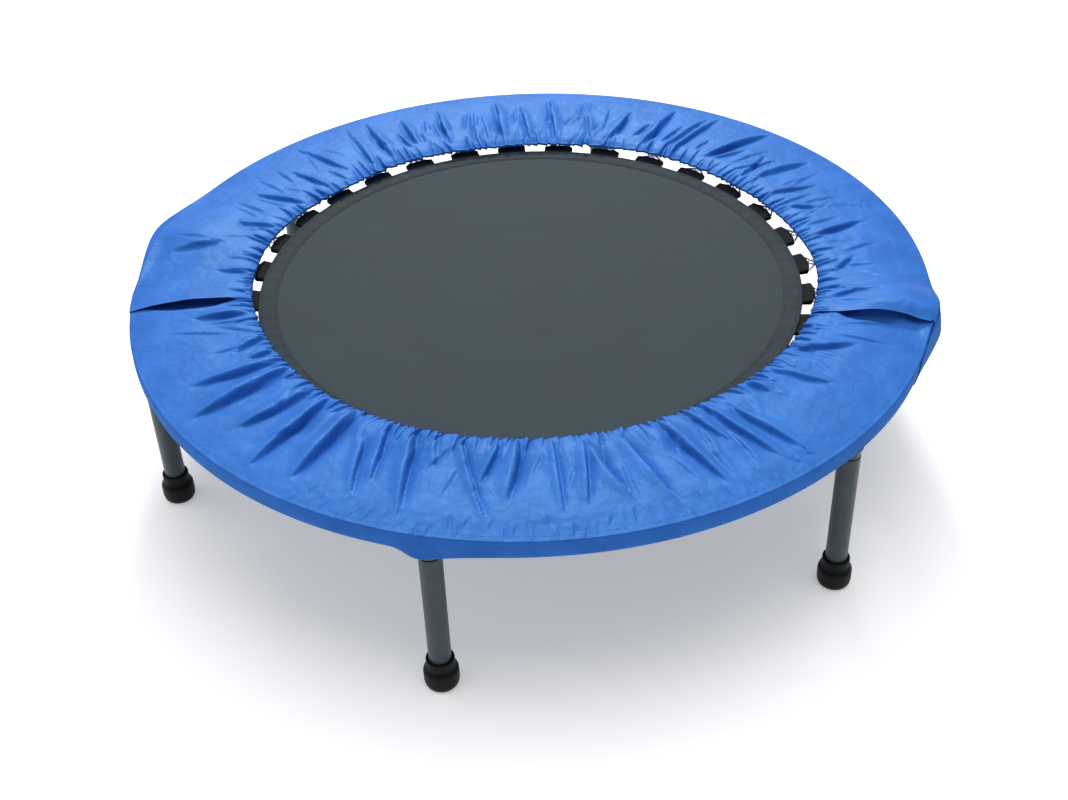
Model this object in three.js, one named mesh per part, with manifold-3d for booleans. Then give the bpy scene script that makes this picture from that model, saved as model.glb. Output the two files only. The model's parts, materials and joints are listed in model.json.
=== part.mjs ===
// Folding mini trampoline: two half rings of steel tube, hinged to each other at both ends,
// six screw-in legs, a two-part jumping mat on thirty-two springs, and a padless fabric cover.
// Millimetres, +Z up. The origin is on the floor, under the centre of the mat. The fold axis
// runs along X, the front half is on the -Y side and the rear half is on the +Y side.

import * as THREE from "three";
import { mergeVertices } from "three/addons/utils/BufferGeometryUtils.js";
import Module from "manifold-3d";

const wasm = await Module();
wasm.setup();

// ---------- driving dimensions ----------
const RING_RADIUS = 466; // centre line of the ring tube
const TUBE_RADIUS = 12.5; // 25 mm steel tube, ring and legs alike
const TUBE_WALL = 1.2;
const RING_Z = 214;
const HALF_GAP = 1; // each half ring stops this far from the fold plane
const FOLD_AXIS_Z = 233.5; // just above the cover, so that the folded halves clear each other
const GAP = 0.3; // between pieces that touch

const LEG_ANGLES = [210, 270, 330, 30, 90, 150]; // the first three are on the front half
const LEG_TOP_Z = 191;
const BOSS_BOTTOM_Z = LEG_TOP_Z + GAP;
const BOSS_RADIUS = 12;
const BOSS_BORE = 5.6;
const STUD_RADIUS = 5;
const STUD_TOP_Z = 212;

const FOOT_RADIUS = 19.5;
const FOOT_COLLAR_RADIUS = 15.6;
const FOOT_HEIGHT = 40;
const FOOT_BASE_RADIUS = 15;
const FOOT_FLOOR = 6; // rubber under the leg's end

const SPRING_COUNT = 32;
const SPRING_HOLE_RADIUS = 3;
const SPRING_PIVOT_RADIUS = RING_RADIUS - TUBE_RADIUS;
const SPRING_INNER_RADIUS = 353;
const COIL_RADIUS = 6.5;
const HOOK_WIRE_RADIUS = 1.3;

const MAT_RADIUS = 333;
const MAT_THICKNESS = 2;
const TAB_REACH_RADIUS = 351;
const TAB_WIDTH = 40;

const COVER_RADIUS = 482.5;
const COVER_TOP_Z = 230;
const COVER_THICKNESS = 3;
const COVER_INNER_RADIUS = 328;
const COVER_INNER_Z = 224;
const COVER_SHOULDER_RADIUS = 345;
const COVER_SKIRT_Z = 207;
const HINGE_NOTCH = 50; // the cover is open this far to each side of the fold axis at the hinges
const HINGE_NOTCH_INNER_RADIUS = 434;

const FORK_PLATE = 3;
const FORK_REACH = 38; // how far the fork runs back along the front tube
const EYE_RADIUS = 6; // round ends of the hinge plates
const LUG_HALF_WIDTH = 12;
const LUG_PLATE = 3;
const LUG_REACH = 40;
const BOLT_RADIUS = 3;
const BOLT_HOLE = 3.3;

// ---------- materials ----------
const material = (color, roughness, metalness) =>
  new THREE.MeshStandardMaterial({ color, roughness, metalness });
const POWDER_COAT = material(0x46555a, 0.45, 0.5);
const ZINC = material(0xa9adb0, 0.35, 0.9);
const SPRING_STEEL = material(0xb4b8ba, 0.3, 0.95);
const BLACK_RUBBER = material(0x151516, 0.8, 0);
const MAT_FABRIC = material(0x4c5a60, 0.85, 0);
const BLUE_FABRIC = material(0x3f7cd8, 0.6, 0);

// ---------- helpers ----------
const radians = THREE.MathUtils.degToRad;

// A closed three.js geometry as a manifold-3d solid.
function solid(geometry) {
  const bare = geometry.index ? geometry.toNonIndexed() : geometry.clone();
  bare.deleteAttribute("normal");
  bare.deleteAttribute("uv");
  const merged = mergeVertices(bare, 1e-4);
  return new wasm.Manifold(
    new wasm.Mesh({
      numProp: 3,
      vertProperties: new Float32Array(merged.attributes.position.array),
      triVerts: new Uint32Array(merged.index.array),
    }),
  );
}

function geometryOf(manifold) {
  const mesh = manifold.getMesh();
  const geometry = new THREE.BufferGeometry();
  geometry.setAttribute("position", new THREE.BufferAttribute(mesh.vertProperties, 3));
  geometry.setIndex(new THREE.BufferAttribute(mesh.triVerts, 1));
  geometry.computeVertexNormals();
  return geometry;
}

function named(name, geometry, surface) {
  const mesh = new THREE.Mesh(geometry, surface);
  mesh.name = name;
  return mesh;
}

const polar = (radius, angle, z) =>
  new THREE.Vector3(radius * Math.cos(radians(angle)), radius * Math.sin(radians(angle)), z);

// A rod along +Z from z0 to z1.
const rod = (radius, z0, z1, sides = 12) =>
  new THREE.CylinderGeometry(radius, radius, z1 - z0, sides)
    .rotateX(Math.PI / 2)
    .translate(0, 0, (z0 + z1) / 2);

// A rod along +X from x0 to x1, at the given y and z.
const crossRod = (radius, x0, x1, y, z, sides = 12) =>
  new THREE.CylinderGeometry(radius, radius, x1 - x0, sides)
    .rotateZ(Math.PI / 2)
    .translate((x0 + x1) / 2, y, z);

const box = (low, high) =>
  new THREE.BoxGeometry(high[0] - low[0], high[1] - low[1], high[2] - low[2]).translate(
    (low[0] + high[0]) / 2,
    (low[1] + high[1]) / 2,
    (low[2] + high[2]) / 2,
  );

// A cross-section in (radius, z) swept about the Z axis from one angle to another, closed at both ends.
function sector(profile, fromAngle, toAngle, steps) {
  const positions = [];
  const index = [];
  const count = profile.length;
  for (let i = 0; i <= steps; i += 1) {
    const angle = fromAngle + ((toAngle - fromAngle) * i) / steps;
    for (const [radius, z] of profile) positions.push(...polar(radius, angle, z).toArray());
  }
  for (let i = 0; i < steps; i += 1) {
    for (let j = 0; j < count; j += 1) {
      const a = i * count + j;
      const b = i * count + ((j + 1) % count);
      index.push(a, b + count, b, a, a + count, b + count);
    }
  }
  const outline = profile.map(([radius, z]) => new THREE.Vector2(radius, z));
  for (const [a, b, c] of THREE.ShapeUtils.triangulateShape(outline, [])) {
    const end = steps * count;
    index.push(a, b, c, end + a, end + c, end + b);
  }
  const geometry = new THREE.BufferGeometry();
  geometry.setAttribute("position", new THREE.Float32BufferAttribute(positions, 3));
  geometry.setIndex(index);
  return geometry;
}

// ---------- ring tube ----------
const circleProfile = (radius, sides) =>
  Array.from({ length: sides }, (_, i) => {
    const turn = (2 * Math.PI * (i + 0.5)) / sides;
    return [RING_RADIUS + radius * Math.cos(turn), RING_Z + radius * Math.sin(turn)];
  });

const springAngle = (index) => ((index + 0.5) * 360) / SPRING_COUNT;

const TUBE_SIDES = 12;
const TUBE_STEPS = 40;
const TUBE_END = THREE.MathUtils.radToDeg(Math.asin(HALF_GAP / RING_RADIUS));

// One half of the ring: a hollow tube with a threaded boss under it for each leg
// and a hole in its inner wall for each spring.
function halfRing(firstAngle) {
  const from = firstAngle + TUBE_END;
  const to = firstAngle + 180 - TUBE_END;
  const overshoot = 1;
  let tube = solid(sector(circleProfile(TUBE_RADIUS, TUBE_SIDES), from, to, TUBE_STEPS));
  const bore = solid(
    sector(circleProfile(TUBE_RADIUS - TUBE_WALL, TUBE_SIDES), from - overshoot, to + overshoot, TUBE_STEPS),
  );
  const legs = LEG_ANGLES.filter((angle) => angle > firstAngle && angle < firstAngle + 180);
  for (const angle of legs) {
    const centre = polar(RING_RADIUS, angle, 0);
    tube = tube.add(
      solid(rod(BOSS_RADIUS, BOSS_BOTTOM_Z, RING_Z - TUBE_RADIUS / 2).translate(centre.x, centre.y, 0)),
    );
  }
  tube = tube.subtract(bore);
  for (const angle of legs) {
    const centre = polar(RING_RADIUS, angle, 0);
    tube = tube.subtract(
      solid(rod(BOSS_BORE, BOSS_BOTTOM_Z - 1, RING_Z).translate(centre.x, centre.y, 0)),
    );
  }
  for (let i = 0; i < SPRING_COUNT; i += 1) {
    const angle = springAngle(i);
    if (angle > firstAngle && angle < firstAngle + 180) {
      const drill = crossRod(SPRING_HOLE_RADIUS, RING_RADIUS - 16, RING_RADIUS - 5, 0, RING_Z, 8);
      tube = tube.subtract(solid(drill.rotateZ(radians(angle))));
    }
  }
  return geometryOf(tube);
}

// ---------- fold hinges ----------
// Plates are drawn in the YZ plane and extruded along X.
function plate(points, holes, x0, x1) {
  const shape = new THREE.Shape(points.map(([y, z]) => new THREE.Vector2(y, z)));
  for (const [y, z, radius] of holes) {
    const hole = new THREE.Path();
    hole.absarc(y, z, radius, 0, 2 * Math.PI, true);
    shape.holes.push(hole);
  }
  const geometry = new THREE.ExtrudeGeometry(shape, {
    depth: x1 - x0,
    bevelEnabled: false,
    curveSegments: 12,
  });
  // Shape x becomes Y, shape y becomes Z and the depth becomes X.
  geometry.applyMatrix4(
    new THREE.Matrix4().makeBasis(
      new THREE.Vector3(0, 1, 0),
      new THREE.Vector3(0, 0, 1),
      new THREE.Vector3(1, 0, 0),
    ),
  );
  return geometry.translate(x0, 0, 0);
}

// Points of the round eye of a hinge plate, on the side away from its own half.
function eye(side, steps = 8) {
  return Array.from({ length: steps + 1 }, (_, i) => {
    const turn = -Math.PI / 2 + (Math.PI * i) / steps;
    return [side * EYE_RADIUS * Math.cos(turn), FOLD_AXIS_Z + EYE_RADIUS * Math.sin(turn)];
  });
}

const FORK_INNER = TUBE_RADIUS + 1.8; // the tube bends away inside the fork, so it has room
const FORK_OUTER = FORK_INNER + FORK_PLATE;
const FORK_LOW_Z = RING_Z - TUBE_RADIUS - GAP - FORK_PLATE;

// A U of plate welded round the front tube's end, open at the top, with an eye on each side.
function hingeFork(side) {
  const outline = [
    [-FORK_REACH, FORK_LOW_Z],
    [-HALF_GAP, FORK_LOW_Z],
    [-HALF_GAP, FOLD_AXIS_Z - EYE_RADIUS],
    ...eye(1),
    [-FORK_REACH / 2, FOLD_AXIS_Z + EYE_RADIUS / 2],
    [-FORK_REACH, RING_Z + TUBE_RADIUS],
  ];
  const holes = [[0, FOLD_AXIS_Z, BOLT_HOLE]];
  const block = solid(plate(outline, holes, -FORK_OUTER, FORK_OUTER));
  const channelLow = RING_Z - TUBE_RADIUS - GAP;
  const channel = solid(
    box([-FORK_INNER, -FORK_REACH - 1, channelLow], [FORK_INNER, EYE_RADIUS + 1, FOLD_AXIS_Z + 20]),
  );
  return geometryOf(block.subtract(channel)).translate(side * RING_RADIUS, 0, 0);
}

// A channel standing on the rear tube's end, between the fork's plates, with an eye on each side.
function hingeLug(side) {
  const seat = RING_Z + TUBE_RADIUS + GAP;
  const outline = [
    [LUG_REACH, seat],
    [LUG_REACH, seat + LUG_PLATE + 2],
    [LUG_REACH / 2, FOLD_AXIS_Z + EYE_RADIUS / 2],
    ...eye(-1).reverse(),
    [HALF_GAP, FOLD_AXIS_Z - EYE_RADIUS],
    [HALF_GAP, seat],
  ];
  const holes = [[0, FOLD_AXIS_Z, BOLT_HOLE]];
  const block = solid(plate(outline, holes, -LUG_HALF_WIDTH, LUG_HALF_WIDTH));
  const inside = LUG_HALF_WIDTH - LUG_PLATE;
  const channel = solid(
    box([-inside, -EYE_RADIUS - 1, seat + LUG_PLATE], [inside, LUG_REACH + 1, FOLD_AXIS_Z + 20]),
  );
  return geometryOf(block.subtract(channel)).translate(side * RING_RADIUS, 0, 0);
}

const NUT_THICKNESS = 5;
const NUT_RADIUS = 5.8;
const BOLT_HEAD_RADIUS = 5.5;
const BOLT_HEAD_THICKNESS = 3;

// Domed head on the outside of the ring, shank through the four plates.
function hingeBolt(side) {
  const headFace = FORK_OUTER + GAP;
  const profile = [
    [0, -headFace - NUT_THICKNESS - 3],
    [BOLT_RADIUS, -headFace - NUT_THICKNESS - 3],
    [BOLT_RADIUS, headFace],
    [BOLT_HEAD_RADIUS, headFace],
    [BOLT_HEAD_RADIUS * 0.8, headFace + BOLT_HEAD_THICKNESS * 0.75],
    [0, headFace + BOLT_HEAD_THICKNESS],
  ];
  const lathe = new THREE.LatheGeometry(
    profile.map(([radius, along]) => new THREE.Vector2(radius, along)),
    12,
  );
  const bolt = geometryOf(solid(lathe)).rotateZ(-Math.PI / 2); // the lathe's axis, Y, becomes X
  if (side < 0) bolt.rotateZ(Math.PI);
  return bolt.translate(side * RING_RADIUS, 0, FOLD_AXIS_Z);
}

function hingeNut(side) {
  const near = FORK_OUTER + GAP;
  const body = solid(crossRod(NUT_RADIUS, -near - NUT_THICKNESS, -near, 0, 0, 6));
  const thread = solid(crossRod(BOLT_RADIUS + GAP, -near - NUT_THICKNESS - 1, -near + 1, 0, 0, 12));
  const nut = geometryOf(body.subtract(thread));
  if (side < 0) nut.rotateZ(Math.PI);
  return nut.translate(side * RING_RADIUS, 0, FOLD_AXIS_Z);
}

// ---------- legs and feet ----------
const LEG_SIDES = 14;

// A tube leg, closed at the top by a plug with a screwed stud on it.
function leg() {
  const bottom = FOOT_FLOOR + GAP;
  const plugThickness = 12;
  const profile = [
    [0, LEG_TOP_Z - plugThickness],
    [TUBE_RADIUS - TUBE_WALL, LEG_TOP_Z - plugThickness],
    [TUBE_RADIUS - TUBE_WALL, bottom],
    [TUBE_RADIUS, bottom],
    [TUBE_RADIUS, LEG_TOP_Z],
    [STUD_RADIUS, LEG_TOP_Z],
    [STUD_RADIUS, STUD_TOP_Z - 1.5],
    [STUD_RADIUS - 1.5, STUD_TOP_Z],
    [0, STUD_TOP_Z],
  ];
  return turned(profile, LEG_SIDES);
}

// A rubber boot with a flared, rounded bottom and a flat base.
function foot() {
  const cup = TUBE_RADIUS + GAP;
  const profile = [
    [0, 0],
    [FOOT_BASE_RADIUS, 0],
    [FOOT_RADIUS - 1.2, 3],
    [FOOT_RADIUS, 8],
    [FOOT_RADIUS - 0.8, 17],
    [FOOT_COLLAR_RADIUS + 0.6, 22],
    [FOOT_COLLAR_RADIUS, FOOT_HEIGHT],
    [cup, FOOT_HEIGHT],
    [cup, FOOT_FLOOR],
    [0, FOOT_FLOOR],
  ];
  return turned(profile, LEG_SIDES);
}

// A profile in (radius, z) turned about the Z axis.
function turned(profile, sides) {
  const lathe = new THREE.LatheGeometry(
    profile.map(([radius, z]) => new THREE.Vector2(radius, z)),
    sides,
  );
  return geometryOf(solid(lathe)).rotateX(Math.PI / 2);
}

// ---------- springs ----------
// A spring lies along +X: the coil between two straight hook shanks.
function spring() {
  const start = SPRING_INNER_RADIUS;
  const end = SPRING_PIVOT_RADIUS + 5;
  const profile = [
    [0, start],
    [HOOK_WIRE_RADIUS, start],
    [HOOK_WIRE_RADIUS, start + 12],
    [COIL_RADIUS, start + 17],
    [COIL_RADIUS, SPRING_PIVOT_RADIUS - 17],
    [HOOK_WIRE_RADIUS, SPRING_PIVOT_RADIUS - 12],
    [HOOK_WIRE_RADIUS, end],
    [0, end],
  ];
  const lathe = new THREE.LatheGeometry(
    profile.map(([radius, along]) => new THREE.Vector2(radius, along)),
    8,
  );
  return geometryOf(solid(lathe)).rotateZ(-Math.PI / 2).translate(0, 0, RING_Z);
}

// ---------- mat ----------
// Half of the mat, with its sewn webbing tabs; side is -1 for the front and +1 for the rear.
function halfMat(side) {
  const disc = new THREE.CylinderGeometry(MAT_RADIUS, MAT_RADIUS, MAT_THICKNESS, 64);
  let mat = solid(disc.rotateX(Math.PI / 2).translate(0, 0, RING_Z));
  for (let i = 0; i < SPRING_COUNT; i += 1) {
    const angle = springAngle(i);
    if (Math.sin(radians(angle)) * side > 0) {
      const tab = box(
        [MAT_RADIUS - 20, -TAB_WIDTH / 2, RING_Z - MAT_THICKNESS / 2],
        [TAB_REACH_RADIUS, TAB_WIDTH / 2, RING_Z + MAT_THICKNESS / 2],
      );
      mat = mat.add(solid(tab.rotateZ(radians(angle))));
    }
  }
  const reach = TAB_REACH_RADIUS + 10;
  const near = side * HALF_GAP;
  const far = side * reach;
  const half = box([-reach, Math.min(near, far), RING_Z - 10], [reach, Math.max(near, far), RING_Z + 10]);
  return geometryOf(mat.intersect(solid(half)));
}

// ---------- cover ----------
const COVER_STEPS = 36;
const COVER_SECTION = [
  [COVER_INNER_RADIUS, COVER_INNER_Z - COVER_THICKNESS],
  [COVER_SHOULDER_RADIUS, COVER_TOP_Z - COVER_THICKNESS],
  [COVER_RADIUS - COVER_THICKNESS, COVER_TOP_Z - COVER_THICKNESS],
  [COVER_RADIUS - COVER_THICKNESS, COVER_SKIRT_Z],
  [COVER_RADIUS, COVER_SKIRT_Z],
  [COVER_RADIUS, COVER_TOP_Z],
  [COVER_SHOULDER_RADIUS, COVER_TOP_Z],
  [COVER_INNER_RADIUS, COVER_INNER_Z],
];

// Half of the fabric cover: a flat ring over tube and springs with a skirt outside,
// open round both hinges.
function halfCover(firstAngle) {
  const end = THREE.MathUtils.radToDeg(Math.asin(HALF_GAP / COVER_INNER_RADIUS));
  let cover = solid(sector(COVER_SECTION, firstAngle + end, firstAngle + 180 - end, COVER_STEPS));
  for (const side of [-1, 1]) {
    const xs = [side * HINGE_NOTCH_INNER_RADIUS, side * (COVER_RADIUS + 10)];
    const notch = box(
      [Math.min(...xs), -HINGE_NOTCH, COVER_SKIRT_Z - 10],
      [Math.max(...xs), HINGE_NOTCH, COVER_TOP_Z + 10],
    );
    cover = cover.subtract(solid(notch));
  }
  return geometryOf(cover);
}

// ---------- assembly ----------
const trampoline = new THREE.Group();

trampoline.add(named("front_frame_tube", halfRing(180), POWDER_COAT));
trampoline.add(named("rear_frame_tube", halfRing(0), POWDER_COAT));

for (const [label, side] of [["left", -1], ["right", 1]]) {
  trampoline.add(named(`hinge_fork_${label}`, hingeFork(side), POWDER_COAT));
  trampoline.add(named(`hinge_lug_${label}`, hingeLug(side), POWDER_COAT));
  trampoline.add(named(`hinge_bolt_${label}`, hingeBolt(side), ZINC));
  trampoline.add(named(`hinge_nut_${label}`, hingeNut(side), ZINC));
}

LEG_ANGLES.forEach((angle, index) => {
  const station = new THREE.Group();
  station.position.copy(polar(RING_RADIUS, angle, 0));
  station.add(named(`leg_${index + 1}`, leg(), POWDER_COAT));
  station.add(named(`foot_${index + 1}`, foot(), BLACK_RUBBER));
  trampoline.add(station);
});

for (let i = 0; i < SPRING_COUNT; i += 1) {
  const name = `spring_${String(i + 1).padStart(2, "0")}`;
  const mesh = named(name, spring(), SPRING_STEEL);
  mesh.rotation.z = radians(springAngle(i));
  trampoline.add(mesh);
}

trampoline.add(named("mat_front", halfMat(-1), MAT_FABRIC));
trampoline.add(named("mat_rear", halfMat(1), MAT_FABRIC));
trampoline.add(named("cover_front", halfCover(180), BLUE_FABRIC));
trampoline.add(named("cover_rear", halfCover(0), BLUE_FABRIC));

export default trampoline;
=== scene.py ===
"""The looks of a folding mini trampoline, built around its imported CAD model.

Everything is in metres, in the model's own frame: Z up, the floor at 0, the fold axis along X,
the front half at -Y. Angles are in degrees, counted from +X towards +Y.
"""

import json
import math
import bmesh
import bpy
import numpy as np
from mathutils import Matrix, Vector


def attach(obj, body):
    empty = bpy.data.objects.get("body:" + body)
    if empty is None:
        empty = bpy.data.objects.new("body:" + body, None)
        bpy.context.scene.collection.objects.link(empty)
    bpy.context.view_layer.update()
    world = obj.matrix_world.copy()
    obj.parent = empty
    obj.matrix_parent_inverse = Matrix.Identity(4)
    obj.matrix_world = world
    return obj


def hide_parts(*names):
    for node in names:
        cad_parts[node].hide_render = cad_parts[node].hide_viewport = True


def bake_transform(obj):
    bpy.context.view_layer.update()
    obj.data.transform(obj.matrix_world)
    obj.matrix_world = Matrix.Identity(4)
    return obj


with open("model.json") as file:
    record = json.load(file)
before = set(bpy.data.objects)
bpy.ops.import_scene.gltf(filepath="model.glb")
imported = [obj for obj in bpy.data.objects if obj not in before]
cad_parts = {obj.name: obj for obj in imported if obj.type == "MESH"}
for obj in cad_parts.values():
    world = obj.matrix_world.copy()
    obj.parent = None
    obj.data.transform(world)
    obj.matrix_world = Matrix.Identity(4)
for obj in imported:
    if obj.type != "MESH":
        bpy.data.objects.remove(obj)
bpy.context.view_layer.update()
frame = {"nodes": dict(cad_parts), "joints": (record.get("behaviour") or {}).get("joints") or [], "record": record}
rng = np.random.default_rng(7)

# ---------- places and sizes of the CAD model ----------
JOINTS = {joint["name"]: joint for joint in frame["joints"]}
FEET = [mount["pos_m"] for mount in frame["record"]["mounts"]]
FOLD_AXIS_Z = JOINTS["frame_fold"]["pos_m"][2]
RING_Z = JOINTS["spring_01_tilt"]["pos_m"][2]
RING_RADIUS = round(math.hypot(*FEET[0]), 6)
TUBE_RADIUS = 0.0125
TUBE_WALL = 0.0012
LEG_ANGLES = [round(math.degrees(math.atan2(y, x))) % 360 for x, y, _ in FEET]
SPRING_COUNT = 32
SPRING_ANGLES = [(i + 0.5) * 360 / SPRING_COUNT for i in range(SPRING_COUNT)]
MAT_RADIUS = 0.333
COVER_RADIUS = 0.4825
COVER_SEAM_Z = 0.229
COVER_HEM_Z = 0.2085
SKIRT_FROM = COVER_RADIUS - 0.0005

# ---------- camera ----------
VIEW_AZIMUTH = math.radians(13.7)
VIEW_ELEVATION = math.radians(32.98)
VIEW_PITCH = math.radians(37.91)
VIEW_ROLL = math.radians(-2.11)
VIEW_DISTANCE = 1.844
LENS_MM = 50.4


def add_camera():
    target = Vector((0, 0, 0.230))
    flat = Vector((math.sin(VIEW_AZIMUTH), -math.cos(VIEW_AZIMUTH), 0))
    back = flat * math.cos(VIEW_ELEVATION) + Vector((0, 0, math.sin(VIEW_ELEVATION)))
    place = target + VIEW_DISTANCE * back
    ahead = -flat * math.cos(VIEW_PITCH) - Vector((0, 0, math.sin(VIEW_PITCH)))
    level = ahead.cross(Vector((0, 0, 1))).normalized()
    upright = level.cross(ahead)
    right = level * math.cos(VIEW_ROLL) + upright * math.sin(VIEW_ROLL)
    up = upright * math.cos(VIEW_ROLL) - level * math.sin(VIEW_ROLL)
    data = bpy.data.cameras.new("camera")
    data.sensor_width = 36
    data.lens = LENS_MM
    data.clip_end = 50
    camera = bpy.data.objects.new("camera", data)
    turn = Matrix((right, up, -ahead)).transposed().to_4x4()
    camera.matrix_world = Matrix.Translation(place) @ turn
    bpy.context.scene.collection.objects.link(camera)
    bpy.context.scene.camera = camera


def add_light(name, place, size, power):
    data = bpy.data.lights.new(name, "AREA")
    data.energy = power
    data.size = size
    light = bpy.data.objects.new(name, data)
    light.location = place
    light.rotation_euler = (Vector((0, 0, 0.2)) - Vector(place)).to_track_quat("-Z", "Y").to_euler()
    bpy.context.scene.collection.objects.link(light)


def add_world(strength):
    world = bpy.data.worlds.new("world")
    world.use_nodes = True
    background = world.node_tree.nodes["Background"]
    background.inputs["Color"].default_value = (1, 1, 1, 1)
    background.inputs["Strength"].default_value = strength
    bpy.context.scene.world = world


# ---------- material tools ----------
class Nodes:
    """A new material's node tree, with short ways to add and join its nodes."""

    def __init__(self, name, **sockets):
        self.material = bpy.data.materials.new(name)
        self.material.use_nodes = True
        self.tree = self.material.node_tree
        self.shader = self.tree.nodes["Principled BSDF"]
        for socket, value in sockets.items():
            self.shader.inputs[socket.replace("_", " ")].default_value = value
        self.where = self.add("TexCoord").outputs["Object"]

    def add(self, kind, links=None, **settings):
        node = self.tree.nodes.new("ShaderNode" + kind)
        for name, value in settings.items():
            setattr(node, name, value)
        for socket, value in (links or {}).items():
            self.feed(node, socket, value)
        return node

    def feed(self, node, socket, value):
        if isinstance(value, bpy.types.NodeSocket):
            self.tree.links.new(value, node.inputs[socket])
        else:
            node.inputs[socket].default_value = value

    def noise(self, scale, detail, roughness=0.5, where=None, output="Fac"):
        where = self.where if where is None else where
        links = {"Vector": where, "Scale": scale, "Detail": detail, "Roughness": roughness}
        return self.add("TexNoise", links).outputs[output]

    def ramp(self, value, low, high, low_colour, high_colour):
        node = self.add("ValToRGB", {"Fac": value})
        node.color_ramp.elements[0].position = low
        node.color_ramp.elements[1].position = high
        node.color_ramp.elements[0].color = (*low_colour, 1)
        node.color_ramp.elements[1].color = (*high_colour, 1)
        return node.outputs["Color"]

    def mix(self, factor, a, b):
        node = self.add("Mix", data_type="RGBA")
        self.feed(node, 0, factor)
        self.feed(node, 6, a)
        self.feed(node, 7, b)
        return node.outputs[2]

    def math(self, operation, a, b):
        node = self.add("Math", operation=operation)
        self.feed(node, 0, a)
        self.feed(node, 1, b)
        return node.outputs[0]

    def vector_math(self, operation, a, b, output="Vector"):
        return self.add("VectorMath", {0: a, 1: b}, operation=operation).outputs[output]

    def spread(self, value, low, high):
        links = {"Value": value, "To Min": low, "To Max": high}
        return self.add("MapRange", links).outputs["Result"]

    def colour(self, value):
        self.feed(self.shader, "Base Color", value)

    def roughness(self, value):
        self.feed(self.shader, "Roughness", value)

    def bump(self, *layers):
        """Bumps from (height, strength, distance in metres) layers, one over another."""
        normal = None
        for height, strength, distance in layers:
            links = {"Height": height, "Strength": strength, "Distance": distance}
            if normal is not None:
                links["Normal"] = normal
            normal = self.add("Bump", links).outputs["Normal"]
        self.feed(self.shader, "Normal", normal)


def woven_height(nodes, width):
    """The height of a plain weave with threads of this width: two crossing sets of ridges."""
    heights = []
    for direction in ("X", "Y"):
        links = {"Vector": nodes.where, "Scale": 0.5 / width, "Distortion": 0.0}
        wave = nodes.add("TexWave", links, wave_type="BANDS", bands_direction=direction)
        heights.append(wave.outputs["Fac"])
    return nodes.math("MULTIPLY", *heights)


# ---------- materials ----------
def cover_fabric():
    """Thin shiny blue cloth: a fine weave, creases running out from the ring's middle, small
    crumples all over, and a skirt that shines less than the top."""
    n = Nodes("blue_taffeta", Metallic=0.0, Specular_IOR_Level=0.27,
              Specular_Tint=(0.30, 0.90, 1.0, 1.0), Sheen_Weight=0.04, Sheen_Roughness=0.45,
              Sheen_Tint=(0.3, 0.8, 1.0, 1.0))
    parts = n.add("SeparateXYZ", {"Vector": n.where}).outputs
    turn = n.math("ARCTAN2", parts["Y"], parts["X"])
    radius = n.vector_math("LENGTH", n.where, (0, 0, 0), "Value")
    spokes = {"X": n.math("MULTIPLY", turn, 20.0), "Y": n.math("MULTIPLY", radius, 14.0)}
    streak = n.noise(1.0, 4.0, 0.6, n.add("CombineXYZ", spokes).outputs["Vector"])
    cloud = n.noise(22, 4.0)
    fine = n.noise(160, 3.0)
    base = n.ramp(cloud, 0.35, 0.68, (0.022, 0.118, 0.472), (0.032, 0.151, 0.570))
    n.colour(n.mix(n.math("MULTIPLY", fine, 0.16), base, (0.045, 0.220, 0.640, 1)))
    level = n.vector_math("MULTIPLY", n.where, (1, 1, 0))
    links = {"Value": n.vector_math("LENGTH", level, (0, 0, 0), "Value"),
             "From Min": SKIRT_FROM - 0.0015, "From Max": SKIRT_FROM, "To Max": 0.92}
    matt_skirt = n.add("MapRange", links).outputs["Result"]
    n.roughness(n.math("MAXIMUM", n.spread(fine, 0.42, 0.58), matt_skirt))
    crinkle = n.noise(75, 5.0, 0.6)
    wander = n.noise(30.0, 2.0, output="Color")
    bent = n.vector_math("ADD", n.where, n.vector_math("MULTIPLY", wander, (0.02, 0.02, 0.02)))
    crumple = n.add("TexVoronoi", {"Vector": bent, "Scale": 48.0}, feature="DISTANCE_TO_EDGE")
    n.bump((streak, 0.34, 0.0050), (crumple.outputs["Distance"], 0.30, 0.0030), (crinkle, 0.34, 0.0020),
           (woven_height(n, 0.0012), 0.15, 0.0002))
    return n.material


def mat_fabric():
    n = Nodes("woven_mat", Metallic=0.0, Specular_IOR_Level=0.2)
    weave = woven_height(n, 0.0016)
    cloud = n.noise(9, 5.0, 0.6)
    base = n.ramp(cloud, 0.3, 0.7, (0.028, 0.045, 0.059), (0.038, 0.058, 0.074))
    speck = n.noise(520, 2.0)
    worn = n.mix(n.spread(speck, 0.0, 0.35), base, (0.080, 0.108, 0.126, 1))
    # Painted shade: the colour is darker where the weave dips between its threads.
    n.colour(n.mix(n.spread(weave, 0.35, 0.0), worn, (0.016, 0.024, 0.030, 1)))
    n.roughness(n.spread(cloud, 0.62, 0.78))
    n.bump((weave, 0.5, 0.0006))
    return n.material


def border_fabric():
    n = Nodes("mat_border_tape", Metallic=0.0, Specular_IOR_Level=0.2)
    weave = woven_height(n, 0.0011)
    cloud = n.noise(30, 4.0)
    n.colour(n.ramp(cloud, 0.3, 0.7, (0.024, 0.036, 0.043), (0.034, 0.049, 0.058)))
    n.roughness(n.spread(cloud, 0.66, 0.8))
    n.bump((weave, 0.5, 0.0005))
    return n.material


def webbing():
    n = Nodes("black_webbing", Metallic=0.0, Specular_IOR_Level=0.15)
    weave = woven_height(n, 0.0010)
    cloud = n.noise(80, 3.0)
    n.colour(n.ramp(cloud, 0.3, 0.7, (0.003, 0.004, 0.0045), (0.008, 0.010, 0.011)))
    n.roughness(n.spread(cloud, 0.6, 0.8))
    n.bump((weave, 0.6, 0.0006))
    return n.material


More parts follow.
